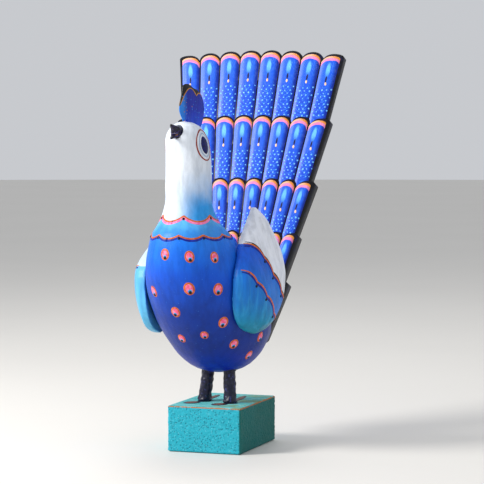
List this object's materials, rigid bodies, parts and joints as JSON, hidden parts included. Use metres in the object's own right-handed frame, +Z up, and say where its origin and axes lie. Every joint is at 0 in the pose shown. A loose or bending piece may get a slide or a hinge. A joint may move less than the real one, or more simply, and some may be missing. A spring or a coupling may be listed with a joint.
{
  "type": "alebrije peacock figure",
  "caption": "Carved and painted wooden peacock standing on a block, with a raised plank tail fan and a leaf crest that both pull off.",
  "frame": {"origin": "middle of the block's underside, which is the face that the figure stands on", "axes": "+Z up, -Y out of the block's front face, +X to the right of someone who looks at that face"},
  "size_m": [0.1364, 0.1946, 0.2976],
  "materials": {
    "base_paint": "matte turquoise acrylic paint, pitted, on softwood",
    "leg_paint": "satin black paint on whittled softwood",
    "body_paint": "satin acrylic paint, white neck shading to ultramarine, on carved softwood",
    "beak_paint": "satin black paint on carved softwood",
    "crest_paint": "satin dark ultramarine paint on carved softwood",
    "wing_paint": "satin paint, off-white tip shading to turquoise, on carved softwood",
    "bare_wood": "bare softwood peg",
    "fan_paint": "satin ultramarine paint with painted feathers on carved softwood"
  },
  "bodies": {
    "figure": {"base_block": "base_paint", "left_leg": "leg_paint", "right_leg": "leg_paint", "body": "body_paint", "beak": "beak_paint", "left_wing": "wing_paint", "right_wing": "wing_paint", "left_wing_front_peg": "bare_wood", "left_wing_rear_peg": "bare_wood", "right_wing_front_peg": "bare_wood", "right_wing_rear_peg": "bare_wood"},
    "tail": {"tail_fan": "fan_paint"},
    "crest": {"crest": "crest_paint"}
  },
  "joints": [
    {"name": "tail_pull", "type": "slide", "parent": "figure", "child": "tail", "axis": [0, 0.866, 0.5], "range_m": [0, 0.03]},
    {"name": "crest_pull", "type": "slide", "parent": "figure", "child": "crest", "axis": [0, 0, 1], "range_m": [0, 0.014]}
  ]
}
